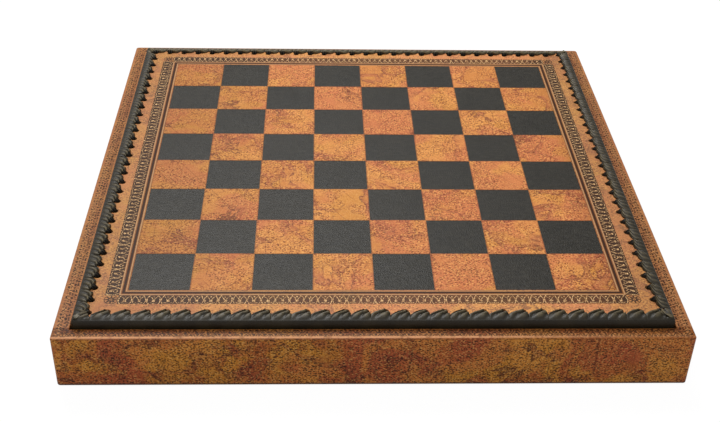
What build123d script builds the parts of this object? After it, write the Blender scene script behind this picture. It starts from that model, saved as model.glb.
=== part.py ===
"""Chess box: a covered storage box whose lift-off lid is a laced chessboard.

Millimetres. The origin lies on the table under the middle of the box. +Z is up and -Y faces the player,
who has a dark square at the near left. Each of the four sides is drawn once, at the front, and turned.
"""

import os

from build123d import *

os.makedirs("parts", exist_ok=True)

# Chessboard
SQUARE = 34.5
SQUARES_ALONG = 8
BORDER = 18.7  # from the outer squares to the row of lacing holes
HOLE_INSET = 7.7  # from the row of lacing holes to the cut edge of the board
CORE_THICK = 6.0
FACING_THICK = 0.7
BACKING_THICK = 0.6
STAMP_DEPTH = 0.4  # pocket of a dark square in the facing
STAMP_SINK = 0.1  # how far a dark square lies below the facing
STAMP_SEAM = 0.4  # light line between dark squares that meet at their corners

# Lacing, a flat thong whipped over the edge of the board
LACE_THICK = 1.1
LACE_STITCHES = 29  # holes along each side
LACE_HOLE = 4.0  # diameter of a punched hole
LACE_HOLE_ROOM = 0.3  # around the thong where it goes down a hole
LACE_HOLE_COVER = 0.1  # by which the thong hides the rim of its hole
LACE_GAP = 0.5  # between neighbouring turns
LACE_LEAD = 2.5  # how far the leading edge of a turn lies past its hole
LACE_END = 6.9  # from the last hole to the corner of the board
LACE_SHOULDER = 3.6  # how far in from the edge the turns part from each other
CREST_BULGE = 0.9  # outward bow of the long flank of a turn
CREST_HOLLOW = 0.4  # inward bow of its short flank
LACE_BEND = 1.4  # outer bend over the edge, in thicknesses of the thong
LACE_CORNER_BEND = 2.2  # the same round a corner of the board

# Box
BOX_RISE = 33.1  # covered wall, from its foot to its rim
WALL_THICK = 7.3
COVER_THICK = 0.8
EDGE_EASE = 0.25  # inner rounding of the covering over the rim
RIM_ROUND = 0.55  # its outer rounding there, pressed crisp
EASE_ROOM = 0.2  # by which the rim of the wall is rounded more than that
CORNER_ROUND = 2.0  # upright corners of the covering
TURN_IN = 8.0  # covering turned down inside the rim
TURN_UNDER = 8.0  # covering turned in under the foot
LID_ROOM = 0.6  # between the lacing and the covering, on each side
LID_RECESS = 4.1  # how far the board sits below the rim
BASE_THICK = 3.0
BASE_HOUSING = 4.0  # how far the base panel reaches into the walls
BASE_ROOM = 0.2
BAIZE_THICK = 1.0
BAIZE_INSET = 3.0

# Inside
LEDGE_THICK = 6.0
LINING_THICK = 0.8
FLOOR_THICK = 1.2
DIVIDER_THICK = 4.0
DIVIDER_DROP = 1.0  # below the seat of the board
DIVIDER_HOUSING = 3.0  # depth of the slots in the ledges
SLOT_ROOM = 0.15

# Corner keys and base pins
KEY_WIDTH = 6.0
KEY_THICK = 2.0
KEY_STOP = 4.2  # from the ends of a key to the foot and the top of the wall
KEY_ROOM = 0.1
PIN_SHANK = 1.2
PIN_HEAD = 2.6
PIN_HEAD_THICK = 0.5
PIN_LENGTH = 12.0
PIN_ROOM = 0.05
PIN_INSET = 2.0  # from the edge of the base panel
PIN_SPREAD = 120.0  # between the pins of one side
PINS_ALONG = 3

SIDE_TURNS = {"front": 0, "right": 90, "back": 180, "left": 270}

# Plan, as distances from the middle
FIELD_HALF = SQUARE * SQUARES_ALONG / 2
HOLE_ROW = FIELD_HALF + BORDER
BOARD_HALF = HOLE_ROW + HOLE_INSET
LID_HALF = BOARD_HALF + LACE_THICK
OPENING_HALF = LID_HALF + LID_ROOM
WALL_INNER = OPENING_HALF + COVER_THICK
WALL_OUTER = WALL_INNER + WALL_THICK
BOX_HALF = WALL_OUTER + COVER_THICK
BASE_HALF = WALL_INNER + BASE_HOUSING - BASE_ROOM
LEDGE_INNER = OPENING_HALF - LEDGE_THICK
TURN_UNDER_EDGE = BOX_HALF - TURN_UNDER
PIN_LINE = BASE_HALF - PIN_INSET

# Heights
COVER_FOOT = BAIZE_THICK
WALL_FOOT = COVER_FOOT + COVER_THICK
RIM = COVER_FOOT + BOX_RISE
WALL_TOP = RIM - COVER_THICK
BASE_TOP = WALL_FOOT + BASE_THICK
FLOOR_TOP = BASE_TOP + FLOOR_THICK
LID_SEAT = RIM - LID_RECESS
LEDGE_TOP = LID_SEAT - LINING_THICK
DIVIDER_TOP = LID_SEAT - DIVIDER_DROP
BACKING_FOOT = LID_SEAT + LACE_THICK
CORE_FOOT = BACKING_FOOT + BACKING_THICK
FACING_FOOT = CORE_FOOT + CORE_THICK
FACING_TOP = FACING_FOOT + FACING_THICK
LID_TOP = FACING_TOP + LACE_THICK

# Lacing pattern along the front, seen from above
LACE_PITCH = 2 * (BOARD_HALF - LACE_END) / LACE_STITCHES
TURN_WIDTH = LACE_PITCH - LACE_GAP
LACE_TAIL = TURN_WIDTH - LACE_LEAD
TIP_RADIUS = LACE_HOLE / 2 + LACE_HOLE_COVER
SHOULDER_LINE = LACE_SHOULDER - BOARD_HALF
lace_holes = [
    (stitch * LACE_PITCH - BOARD_HALF + LACE_END, -HOLE_ROW)
    for stitch in range(1, LACE_STITCHES + 1)
]
dark_centres = [
    ((file - (SQUARES_ALONG - 1) / 2) * SQUARE, (rank - (SQUARES_ALONG - 1) / 2) * SQUARE)
    for file in range(SQUARES_ALONG)
    for rank in range(SQUARES_ALONG)
    if (file + rank) % 2 == 0
]
pin_stations = [
    ((pin - (PINS_ALONG - 1) / 2) * PIN_SPREAD, -PIN_LINE) for pin in range(PINS_ALONG)
]
UPWARD = (Align.CENTER, Align.CENTER, Align.MIN)


def export_piece(piece, name):
    """Labels one finished piece and writes it under its name."""
    piece.label = name
    export_step(piece, f"parts/{name}.step")


def export_sides(piece, kind):
    """Writes a front piece and its copies turned to the other sides."""
    for side, turn in SIDE_TURNS.items():
        export_piece(piece.rotate(Axis.Z, turn), f"{side}_{kind}")


# What belongs to the front between the two mitres, reaching out past the box
SECTOR_REACH = 2 * BOX_HALF
with BuildPart() as front_sector:
    with BuildSketch(Plane.XY):
        Polygon((0, 0), (-SECTOR_REACH, -SECTOR_REACH), (SECTOR_REACH, -SECTOR_REACH), align=None)
    extrude(amount=SECTOR_REACH)

# Box walls, rebated for the base panel and slotted at the mitres for the corner keys
KEY_CENTRE = (WALL_INNER + WALL_OUTER) / 2
KEY_MIDDLE = (WALL_FOOT + WALL_TOP) / 2
KEY_HEIGHT = WALL_TOP - WALL_FOOT - 2 * KEY_STOP
with BuildPart() as wall:
    with BuildSketch(Plane.YZ) as wall_section:
        with Locations((-KEY_CENTRE, KEY_MIDDLE)):
            Rectangle(WALL_THICK, WALL_TOP - WALL_FOOT)
        fillet(wall_section.vertices().group_by(Axis.Y)[-1], EDGE_EASE + EASE_ROOM)
        with Locations((-WALL_INNER - BASE_HOUSING, WALL_FOOT)):
            Rectangle(BASE_HOUSING, BASE_THICK, align=(Align.MIN, Align.MIN), mode=Mode.SUBTRACT)
    extrude(amount=BOX_HALF, both=True)
    add(front_sector.part, mode=Mode.INTERSECT)
    with Locations(
        Location((KEY_CENTRE, -KEY_CENTRE, KEY_MIDDLE), (0, 0, 45)),
        Location((-KEY_CENTRE, -KEY_CENTRE, KEY_MIDDLE), (0, 0, -45)),
    ):
        Box(
            KEY_WIDTH + 2 * KEY_ROOM,
            KEY_THICK + 2 * KEY_ROOM,
            KEY_HEIGHT + 2 * KEY_ROOM,
            mode=Mode.SUBTRACT,
        )
    with BuildSketch(Plane.XY.offset(WALL_FOOT)):
        with Locations(*pin_stations):
            Circle(PIN_SHANK / 2 + PIN_ROOM)
    extrude(amount=PIN_LENGTH + PIN_ROOM, mode=Mode.SUBTRACT)
export_sides(wall.part, "wall")

# Loose tongues that key the mitred corners
with BuildPart() as corner_keys:
    with PolarLocations(0, len(SIDE_TURNS)):
        with Locations(Location((KEY_CENTRE, -KEY_CENTRE, KEY_MIDDLE), (0, 0, 45))):
            Box(KEY_WIDTH, KEY_THICK, KEY_HEIGHT)
export_piece(corner_keys.part, "corner_keys")

# Base panel with sunk holes for the pins
with BuildPart() as base_panel:
    with Locations((0, 0, WALL_FOOT)):
        Box(2 * BASE_HALF, 2 * BASE_HALF, BASE_THICK, align=UPWARD)
    with PolarLocations(0, len(SIDE_TURNS)):
        with Locations(*[(x, y, WALL_FOOT) for x, y in pin_stations]):
            Cylinder(PIN_SHANK / 2 + PIN_ROOM, BASE_THICK, align=UPWARD, mode=Mode.SUBTRACT)
            Cylinder(PIN_HEAD / 2 + PIN_ROOM, PIN_HEAD_THICK, align=UPWARD, mode=Mode.SUBTRACT)
export_piece(base_panel.part, "base_panel")

# Headed pins driven up through the base panel into the walls
with BuildPart() as base_pins:
    with PolarLocations(0, len(SIDE_TURNS)):
        with Locations(*[(x, y, WALL_FOOT) for x, y in pin_stations]):
            Cylinder(PIN_HEAD / 2, PIN_HEAD_THICK, align=UPWARD)
            Cylinder(PIN_SHANK / 2, PIN_LENGTH, align=UPWARD)
export_piece(base_pins.part, "base_pins")

# Printed covering, wrapped over the rim and under the foot of each wall
with BuildPart() as wall_space:
    with BuildSketch(Plane.XY.offset(WALL_FOOT)):
        Rectangle(2 * WALL_OUTER, 2 * WALL_OUTER)
        Rectangle(2 * WALL_INNER, 2 * WALL_INNER, mode=Mode.SUBTRACT)
    extrude(amount=WALL_TOP - WALL_FOOT)
    fillet(wall_space.faces().sort_by(Axis.Z)[-1].edges(), EDGE_EASE)

with BuildPart() as cover:
    with BuildSketch(Plane.XY.offset(COVER_FOOT)):
        RectangleRounded(2 * BOX_HALF, 2 * BOX_HALF, CORNER_ROUND)
    extrude(amount=BOX_RISE)
    fillet(cover.faces().sort_by(Axis.Z)[-1].edges(), RIM_ROUND)
    fillet(cover.faces().sort_by(Axis.Z)[0].edges(), COVER_THICK)
    with BuildSketch(Plane.XY.offset(COVER_FOOT)):
        Rectangle(2 * OPENING_HALF, 2 * OPENING_HALF)
    extrude(amount=BOX_RISE, mode=Mode.SUBTRACT)
    fillet(cover.faces().sort_by(Axis.Z)[-1].inner_wires().edges(), RIM_ROUND)
    add(wall_space.part, mode=Mode.SUBTRACT)
    with BuildSketch(Plane.XY.offset(COVER_FOOT)):
        Rectangle(2 * TURN_UNDER_EDGE, 2 * TURN_UNDER_EDGE)
    extrude(amount=BOX_RISE - TURN_IN, mode=Mode.SUBTRACT)
    add(front_sector.part, mode=Mode.INTERSECT)
export_sides(cover.part, "cover")

# Baize under the box, stepped to lie on the base panel inside the turned-under covering
with BuildPart() as underside_baize:
    Box(2 * (BOX_HALF - BAIZE_INSET), 2 * (BOX_HALF - BAIZE_INSET), BAIZE_THICK, align=UPWARD)
    with Locations((0, 0, BAIZE_THICK)):
        Box(2 * TURN_UNDER_EDGE, 2 * TURN_UNDER_EDGE, COVER_THICK, align=UPWARD)
export_piece(underside_baize.part, "underside_baize")

# Ledge strips that carry the board, each slotted at its middle for a divider
SLOT_WIDTH = DIVIDER_THICK + 2 * SLOT_ROOM
DIVIDER_HALF = LEDGE_INNER + DIVIDER_HOUSING - SLOT_ROOM
with BuildPart() as ledge:
    with BuildSketch(Plane.YZ):
        with Locations((-OPENING_HALF, BASE_TOP)):
            Rectangle(LEDGE_THICK, LEDGE_TOP - BASE_TOP, align=(Align.MIN, Align.MIN))
    extrude(amount=OPENING_HALF, both=True)
    add(front_sector.part, mode=Mode.INTERSECT)
    with Locations((0, -LEDGE_INNER, FLOOR_TOP)):
        Box(SLOT_WIDTH, 2 * DIVIDER_HOUSING, BOX_RISE, align=UPWARD, mode=Mode.SUBTRACT)
export_sides(ledge.part, "ledge")

# Velvet sheet on the floor
with BuildPart() as floor_lining:
    with Locations((0, 0, BASE_TOP)):
        Box(2 * LEDGE_INNER, 2 * LEDGE_INNER, FLOOR_THICK, align=UPWARD)
export_piece(floor_lining.part, "floor_lining")

# Velvet over the top and the inner face of each ledge
with BuildPart() as lining:
    with BuildSketch(Plane.YZ):
        with Locations((-OPENING_HALF, LEDGE_TOP)):
            Rectangle(LEDGE_THICK, LINING_THICK, align=(Align.MIN, Align.MIN))
        with Locations((-LEDGE_INNER, FLOOR_TOP)):
            Rectangle(LINING_THICK, LID_SEAT - FLOOR_TOP, align=(Align.MIN, Align.MIN))
    extrude(amount=OPENING_HALF, both=True)
    add(front_sector.part, mode=Mode.INTERSECT)
    with Locations((0, -LEDGE_INNER, FLOOR_TOP)):
        Box(SLOT_WIDTH, 2 * DIVIDER_HOUSING, BOX_RISE, align=UPWARD, mode=Mode.SUBTRACT)
export_sides(lining.part, "lining")

# Two flocked dividers, half-lapped where they cross
DIVIDER_RISE = DIVIDER_TOP - FLOOR_TOP
LAP_LEVEL = FLOOR_TOP + DIVIDER_RISE / 2
with BuildPart() as long_divider:
    with Locations((0, 0, FLOOR_TOP)):
        Box(2 * DIVIDER_HALF, DIVIDER_THICK, DIVIDER_RISE, align=UPWARD)
    with Locations((0, 0, LAP_LEVEL)):
        Box(SLOT_WIDTH, DIVIDER_THICK, DIVIDER_RISE, align=UPWARD, mode=Mode.SUBTRACT)
export_piece(long_divider.part, "long_divider")

with BuildPart() as cross_divider:
    with Locations((0, 0, FLOOR_TOP)):
        Box(DIVIDER_THICK, 2 * DIVIDER_HALF, DIVIDER_RISE, align=UPWARD)
        Box(DIVIDER_THICK, SLOT_WIDTH, DIVIDER_RISE / 2, align=UPWARD, mode=Mode.SUBTRACT)
export_piece(cross_divider.part, "cross_divider")

# Board core, punched for the lacing
with BuildPart() as board_core:
    with Locations((0, 0, CORE_FOOT)):
        Box(2 * BOARD_HALF, 2 * BOARD_HALF, CORE_THICK, align=UPWARD)
    with PolarLocations(0, len(SIDE_TURNS)):
        with Locations(*lace_holes):
            Hole(LACE_HOLE / 2)
export_piece(board_core.part, "board_core")

# Printed facing, punched for the lacing and pressed in for the dark squares
STAMP_SIDE = SQUARE - STAMP_SEAM
with BuildPart() as board_facing:
    with Locations((0, 0, FACING_FOOT)):
        Box(2 * BOARD_HALF, 2 * BOARD_HALF, FACING_THICK, align=UPWARD)
    with BuildSketch(Plane.XY.offset(FACING_TOP)):
        with Locations(*dark_centres):
            Rectangle(STAMP_SIDE, STAMP_SIDE)
    extrude(amount=-STAMP_DEPTH, mode=Mode.SUBTRACT)
    with PolarLocations(0, len(SIDE_TURNS)):
        with Locations(*lace_holes):
            Hole(LACE_HOLE / 2)
export_piece(board_facing.part, "board_facing")

# Dark squares in their pockets
with BuildPart() as dark_squares:
    with BuildSketch(Plane.XY.offset(FACING_TOP - STAMP_DEPTH)):
        with Locations(*dark_centres):
            Rectangle(STAMP_SIDE, STAMP_SIDE)
    extrude(amount=STAMP_DEPTH - STAMP_SINK)
export_piece(dark_squares.part, "dark_squares")

# Backing sheet, punched for the lacing
with BuildPart() as board_backing:
    with Locations((0, 0, BACKING_FOOT)):
        Box(2 * BOARD_HALF, 2 * BOARD_HALF, BACKING_THICK, align=UPWARD)
    with PolarLocations(0, len(SIDE_TURNS)):
        with Locations(*lace_holes):
            Hole(LACE_HOLE / 2)
export_piece(board_backing.part, "board_backing")

# One turn of the thong seen from above, leaning along the side to its hole at x = 0
TAIL_POINT = Vector(-LACE_TAIL, SHOULDER_LINE)
LEAD_POINT = Vector(LACE_LEAD, SHOULDER_LINE)
CROWN_POINT = Vector(0, TIP_RADIUS - HOLE_ROW)
NOSE_POINT = Vector(TIP_RADIUS, -HOLE_ROW)
LONG_FLANK = CROWN_POINT - TAIL_POINT
FLANK_MIDDLE = TAIL_POINT + LONG_FLANK * 0.5
FLANK_OUTWARD = Vector(-LONG_FLANK.Y, LONG_FLANK.X).normalized()
HOLLOW_MIDDLE = (NOSE_POINT + LEAD_POINT) * 0.5 - Vector(CREST_HOLLOW, 0)
with BuildSketch(Plane.XY.offset(FACING_TOP)) as crest:
    with BuildLine():
        ThreePointArc(TAIL_POINT, FLANK_MIDDLE + FLANK_OUTWARD * CREST_BULGE, CROWN_POINT)
        RadiusArc(CROWN_POINT, NOSE_POINT, TIP_RADIUS)
        ThreePointArc(NOSE_POINT, HOLLOW_MIDDLE, LEAD_POINT)
        Line(LEAD_POINT, TAIL_POINT)
    make_face()

# The same turn under the board, a little narrower where it leans back to the hole before
with BuildSketch(Plane.XY.offset(LID_SEAT)) as underrun:
    with BuildLine():
        Line(TAIL_POINT + Vector(LACE_GAP, 0), LEAD_POINT)
        CenterArc((-LACE_PITCH, -HOLE_ROW), TIP_RADIUS, 0, 360)
    make_hull()

next_turn = Location((LACE_PITCH, 0, 0))
least_gap = min(
    crest.sketch.distance_to(crest.sketch.moved(next_turn)),
    underrun.sketch.distance_to(underrun.sketch.moved(next_turn)),
)
print(f"lacing: least gap between neighbouring turns {least_gap:.2f} mm")


def lacing_turn(runs_under):
    """One turn over the edge, from its hole to the edge and, if it runs under, to the hole before."""
    with BuildPart() as turn:
        with Locations((LACE_LEAD, -LID_HALF, LID_SEAT)):
            Box(
                TURN_WIDTH,
                LACE_THICK + LACE_SHOULDER,
                LID_TOP - LID_SEAT,
                align=(Align.MAX, Align.MIN, Align.MIN),
            )
        fillet(turn.edges().filter_by(Axis.X).group_by(Axis.Y)[0], LACE_BEND * LACE_THICK)
        with Locations((0, 0, BACKING_FOOT)):
            Box(2 * BOARD_HALF, 2 * BOARD_HALF, FACING_TOP - BACKING_FOOT, align=UPWARD, mode=Mode.SUBTRACT)
        extrude(crest.sketch, amount=LACE_THICK)
        with Locations((0, -HOLE_ROW, LID_SEAT)):
            Cylinder(LACE_HOLE / 2 - LACE_HOLE_ROOM, LID_TOP - LID_SEAT, align=UPWARD)
        if runs_under:
            extrude(underrun.sketch, amount=LACE_THICK)
    return turn.part


# Last turn of a side, folded round the corner and back to the same hole as the turn before
CORNER_START = BOARD_HALF - LACE_END + LACE_LEAD + LACE_GAP
CORNER_STOP = LACE_END + LACE_LEAD - BOARD_HALF
with BuildPart() as corner_turn:
    with Locations((LID_HALF, -LID_HALF, LID_SEAT)):
        Box(
            LID_HALF - CORNER_START,
            LID_HALF + CORNER_STOP,
            LID_TOP - LID_SEAT,
            align=(Align.MAX, Align.MIN, Align.MIN),
        )
    corner_edge = corner_turn.edges().filter_by(Axis.Z).sort_by_distance((LID_HALF, -LID_HALF, LID_SEAT))[0]
    fillet(corner_edge, LACE_CORNER_BEND * LACE_THICK)
    front_edges = corner_turn.edges().filter_by(Axis.X).group_by(Axis.Y)[0]
    fillet(front_edges, LACE_BEND * LACE_THICK)
    with Locations((0, 0, BACKING_FOOT)):
        Box(2 * BOARD_HALF, 2 * BOARD_HALF, FACING_TOP - BACKING_FOOT, align=UPWARD, mode=Mode.SUBTRACT)
    with BuildSketch(Plane.XY.offset(FACING_TOP), Plane.XY.offset(LID_SEAT)):
        with BuildLine():
            Line((CORNER_START, CORNER_STOP), (CORNER_START, SHOULDER_LINE))
            CenterArc(lace_holes[-1], TIP_RADIUS, 0, 360)
        make_hull()
    extrude(amount=LACE_THICK)

# The thong of each side, one unbroken length from its first turn to its corner
with BuildPart() as lacing:
    with Locations((lace_holes[0][0], 0)):
        add(lacing_turn(runs_under=False))
    with Locations(*[(x, 0) for x, y in lace_holes[1:]]):
        add(lacing_turn(runs_under=True))
    add(corner_turn.part)
print(f"lacing: {len(lacing.solids())} unbroken length to a side")
export_sides(lacing.part, "lacing")
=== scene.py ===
import math
import random

import bmesh
import bpy
from mathutils import Matrix, Vector, noise


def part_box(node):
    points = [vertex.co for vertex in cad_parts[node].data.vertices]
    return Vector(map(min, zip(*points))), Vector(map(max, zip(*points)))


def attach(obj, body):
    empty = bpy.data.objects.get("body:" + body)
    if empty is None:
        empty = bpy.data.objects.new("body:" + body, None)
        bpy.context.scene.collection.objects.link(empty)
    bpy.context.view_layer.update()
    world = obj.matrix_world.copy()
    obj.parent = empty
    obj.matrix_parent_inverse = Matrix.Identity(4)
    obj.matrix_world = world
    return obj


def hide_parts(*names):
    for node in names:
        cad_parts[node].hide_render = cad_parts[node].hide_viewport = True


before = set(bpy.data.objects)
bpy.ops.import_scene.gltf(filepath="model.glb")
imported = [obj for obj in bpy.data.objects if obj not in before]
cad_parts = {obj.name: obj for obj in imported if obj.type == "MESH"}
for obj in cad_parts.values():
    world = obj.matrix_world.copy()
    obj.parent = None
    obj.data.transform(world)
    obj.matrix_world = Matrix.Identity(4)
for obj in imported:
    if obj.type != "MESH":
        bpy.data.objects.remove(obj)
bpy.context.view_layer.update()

# Walls, ledges, corner keys, base panel and the core of the board.
# Plain fibreboard, sawn, mitred and glued, with loose tongues in the corners. Nearly all of it is covered:
# it shows only inside the punched holes and beside the baize.
MM = 0.001
BOARD_NODES = ("board_core", "base_panel", "corner_keys")
SIDES = ("front", "right", "back", "left")
WHOLE = 255


def shade(red, green, blue):
    """A colour given from 0 to 255 as a screen shows it, in the linear values that the nodes take."""
    parts = [part / WHOLE for part in (red, green, blue)]
    linear = [part / 12.92 if part < 0.04045 else ((part + 0.055) / 1.055) ** 2.4 for part in parts]
    return (*linear, 1.0)


class Reading:
    """A number that changes over a surface. Sums on readings become math nodes in the same tree."""

    def __init__(self, tree, socket):
        self.tree = tree
        self.socket = socket

    def step(self, operation, *others):
        node = self.tree.nodes.new("ShaderNodeMath")
        node.operation = operation
        for place, value in zip(node.inputs, (self, *others)):
            feed(self.tree, value, place)
        return Reading(self.tree, node.outputs[0])

    def __add__(self, other):
        return self.step("ADD", other)

    def __sub__(self, other):
        return self.step("SUBTRACT", other)

    def __mul__(self, other):
        return self.step("MULTIPLY", other)

    def size(self):
        return self.step("ABSOLUTE")

    def most(self, other):
        return self.step("MAXIMUM", other)

    def least(self, other):
        return self.step("MINIMUM", other)

    def from_nearest(self, pitch):
        """How far it is from the nearest whole multiple of pitch."""
        return self.step("PINGPONG", pitch / 2)

    def span(self, other):
        """The straight distance made by two sides at right angles."""
        return (self * self + other * other).step("SQRT")

    def fade(self, start, end):
        """0 at start, 1 at end and smooth between them. The start may be the larger."""
        node = self.tree.nodes.new("ShaderNodeMapRange")
        node.interpolation_type = "SMOOTHSTEP"
        feed(self.tree, self, node.inputs["Value"])
        feed(self.tree, start, node.inputs["From Min"])
        feed(self.tree, end, node.inputs["From Max"])
        return Reading(self.tree, node.outputs["Result"])


def feed(tree, value, socket):
    """Links a reading or an output to a socket, or sets the socket to a plain value."""
    if isinstance(value, Reading):
        tree.links.new(value.socket, socket)
    elif isinstance(value, bpy.types.NodeSocket):
        tree.links.new(value, socket)
    else:
        socket.default_value = value


def mottle(tree, place, patch, detail=2.0, rough=0.5, twist=0.0):
    """A cloudy reading around one half, with patches about that many millimetres across."""
    node = tree.nodes.new("ShaderNodeTexNoise")
    feed(tree, place, node.inputs["Vector"])
    node.inputs["Scale"].default_value = 1 / patch
    node.inputs["Detail"].default_value = detail
    node.inputs["Roughness"].default_value = rough
    node.inputs["Distortion"].default_value = twist
    return Reading(tree, node.outputs[0])


def stretched(tree, place, factors):
    """The place with each direction multiplied: patches get shorter where the factor is large."""
    node = tree.nodes.new("ShaderNodeVectorMath")
    node.operation = "MULTIPLY"
    feed(tree, place, node.inputs[0])
    node.inputs[1].default_value = factors
    return node.outputs[0]


def tint(tree, amount, under, over, way="MIX"):
    """The colour that comes of laying over on under by amount."""
    node = tree.nodes.new("ShaderNodeMix")
    node.data_type = "RGBA"
    node.blend_type = way
    takes = {socket.identifier: socket for socket in node.inputs}
    gives = {socket.identifier: socket for socket in node.outputs}
    feed(tree, amount, takes["Factor_Float"])
    feed(tree, under, takes["A_Color"])
    feed(tree, over, takes["B_Color"])
    return gives["Result_Color"]


def start_finish(name):
    """A new material: its node tree, its main shader, and the place on the object in millimetres."""
    finish = bpy.data.materials.new(name)
    finish.use_nodes = True
    tree = finish.node_tree
    coordinates = tree.nodes.new("ShaderNodeTexCoord")
    place = tree.nodes.new("ShaderNodeVectorMath")
    place.operation = "SCALE"
    feed(tree, coordinates.outputs["Object"], place.inputs[0])
    place.inputs["Scale"].default_value = 1 / MM
    return finish, tree, tree.nodes["Principled BSDF"], place.outputs[0]


def surface(tree, skin, colour, rough, relief, depth):
    """Gives the skin its colour, its roughness, and a relief from 0 to 1 that is depth millimetres deep."""
    bump = tree.nodes.new("ShaderNodeBump")
    bump.inputs["Distance"].default_value = depth * MM
    feed(tree, relief, bump.inputs["Height"])
    feed(tree, bump.outputs["Normal"], skin.inputs["Normal"])
    feed(tree, colour, skin.inputs["Base Color"])
    feed(tree, rough, skin.inputs["Roughness"])


def dress(nodes, finish):
    """Gives drawn pieces, by name, their finish."""
    for name in nodes:
        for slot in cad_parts[name].material_slots:
            slot.material = finish


FLAKE_DARK = shade(128, 92, 60)
FLAKE_PALE = shade(168, 130, 92)
BOARD_STAIN = shade(118, 84, 56)


def fibreboard():
    finish, tree, skin, place = start_finish("fibreboard")
    pressed = stretched(tree, place, factors=(0.6, 1.0, 1.8))
    flakes = mottle(tree, pressed, patch=0.8, detail=4.0, rough=0.65)
    patches = mottle(tree, place, patch=22.0)
    colour = tint(tree, flakes.fade(0.3, 0.7), FLAKE_DARK, FLAKE_PALE)
    colour = tint(tree, patches * 0.4, colour, BOARD_STAIN)
    surface(tree, skin, colour, rough=flakes * 0.2 + 0.7, relief=flakes, depth=0.12)
    return finish


board_finish = fibreboard()
dress(BOARD_NODES, board_finish)
dress([f"{side}_{kind}" for side in SIDES for kind in ("wall", "ledge")], board_finish)

# Base pins.
# Bright drawn steel pins with small flat heads, driven up through the base panel into the walls.
# They lie under the covering's turned-in edge.
BRIGHT_STEEL = shade(172, 172, 170)
DULL_STEEL = shade(128, 126, 122)


def pin_steel():
    finish, tree, skin, place = start_finish("pin steel")
    drawn = stretched(tree, place, factors=(1.0, 1.0, 0.15))
    smears = mottle(tree, drawn, patch=0.5, detail=3.0)
    colour = tint(tree, smears.fade(0.35, 0.75), BRIGHT_STEEL, DULL_STEEL)
    surface(tree, skin, colour, rough=smears * 0.3 + 0.2, relief=smears, depth=0.01)
    skin.inputs["Metallic"].default_value = 1.0
    return finish


dress(["base_pins"], pin_steel())

# Covering of the box, four strips.
# Printed and varnished leatherette, glued round the walls, drawn over the rim and turned in under the foot.
# The print is an aged chart in browns and reds, with a running vine along the rim.


def corners_of(node):
    """The low and the high corner of a drawn piece, in millimetres."""
    return [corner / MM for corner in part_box(node)]


cover_low, cover_high = corners_of("front_cover")
RIM = cover_high.z
BOX_HALF = cover_high.x
COVER_FOOT = cover_low.z
RIM_WIDTH = 8.9
RIM_ROUND = 0.55
RIM_INNER = BOX_HALF - RIM_WIDTH
# Where the painted highlight runs along the front edge of the rim, and where it fades out.
HIGHLIGHT_FROM_EDGE = 1.9
HIGHLIGHT_TO_EDGE = 0.75
HIGHLIGHT_SOFT = 0.4
HIGHLIGHT_FULL = 40.0
HIGHLIGHT_GONE = BOX_HALF - 20.0
FRONT_BLEND = 1.0
SEAT_EDGE = RIM_INNER + 0.5
SEAT_WALL = RIM_INNER + 0.2
SEAT_TOP = RIM - 0.8
SEAT_DARK = RIM - 1.4
FOOT_TOP = COVER_FOOT + 1.9
FOOT_DARK = COVER_FOOT + 1.3
VINE_MIDDLE = BOX_HALF - 4.3
VINE_ROW = 3.2
VINE_SWAY = 0.95
VINE_WOBBLE = 0.35
VINE_PITCH = 6.0
VINE_TURN = math.tau / VINE_PITCH
VINE_STROKE = 0.5
VINE_LEAF = 0.8
VINE_LEAF_SIDE = 0.8
VINE_WARP = 3.4
VINE_SOFT = 0.15
VINE_BAND = 1.5
VINE_BAND_CORE = 0.9
DASH_STRAY = 0.8
DASH_SOFT = 0.08
RULED_LINE = (0.3, 0.12)

VECTOR = "NodeSocketVector"
NUMBER = "NodeSocketFloat"
COLOUR = "NodeSocketColor"


def start_group(name, takes, gives):
    """A node group with named sockets: its tree, its inputs by name, and the places of its results."""
    tree = bpy.data.node_groups.new(name, "ShaderNodeTree")
    for label, kind in takes.items():
        tree.interface.new_socket(label, in_out="INPUT", socket_type=kind)
    for label, kind in gives.items():
        tree.interface.new_socket(label, in_out="OUTPUT", socket_type=kind)
    entry = tree.nodes.new("NodeGroupInput")
    result = tree.nodes.new("NodeGroupOutput")
    return tree, entry.outputs, result.inputs


def put_group(tree, name, **values):
    """Places a group in a material, with its inputs set or linked: its results by name, as readings."""
    node = tree.nodes.new("ShaderNodeGroup")
    node.node_tree = bpy.data.node_groups[name]
    for label, value in values.items():
        feed(tree, value, node.inputs[label])
    return {output.name: Reading(tree, output) for output in node.outputs}


def directions(tree, place):
    """The place's three directions, as readings."""
    node = tree.nodes.new("ShaderNodeSeparateXYZ")
    feed(tree, place, node.inputs[0])
    return [Reading(tree, output) for output in node.outputs]


def leather_grain():
    """Pebbled grain: raised cells with fine creases between them."""
    tree, takes, gives = start_group(
        "leather grain", {"Place": VECTOR, "Cell": NUMBER}, {"Height": NUMBER, "Polish": NUMBER}
    )
    place = takes["Place"]
    pebbles = tree.nodes.new("ShaderNodeTexVoronoi")
    pebbles.feature = "DISTANCE_TO_EDGE"
    feed(tree, place, pebbles.inputs["Vector"])
    feed(tree, Reading(tree, takes["Cell"]).step("POWER", -1.0), pebbles.inputs["Scale"])
    tops = Reading(tree, pebbles.outputs["Distance"]).fade(-0.1, 0.5)
    fine = mottle(tree, place, patch=0.35, detail=2.0)
    wide = mottle(tree, place, patch=14.0, detail=3.0)
    feed(tree, tops * 0.65 + fine * 0.35, gives["Height"])
    feed(tree, tops * 0.25 + wide * 0.75, gives["Polish"])


def dashes(tree, place, cell, reach):
    """Short separate marks, one to a cell that many millimetres across: 1 on a mark and 0 between them."""
    node = tree.nodes.new("ShaderNodeTexVoronoi")
    feed(tree, place, node.inputs["Vector"])
    node.inputs["Scale"].default_value = 1 / cell
    node.inputs["Randomness"].default_value = DASH_STRAY
    return Reading(tree, node.outputs["Distance"]).fade(reach + DASH_SOFT, reach - DASH_SOFT)


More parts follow.
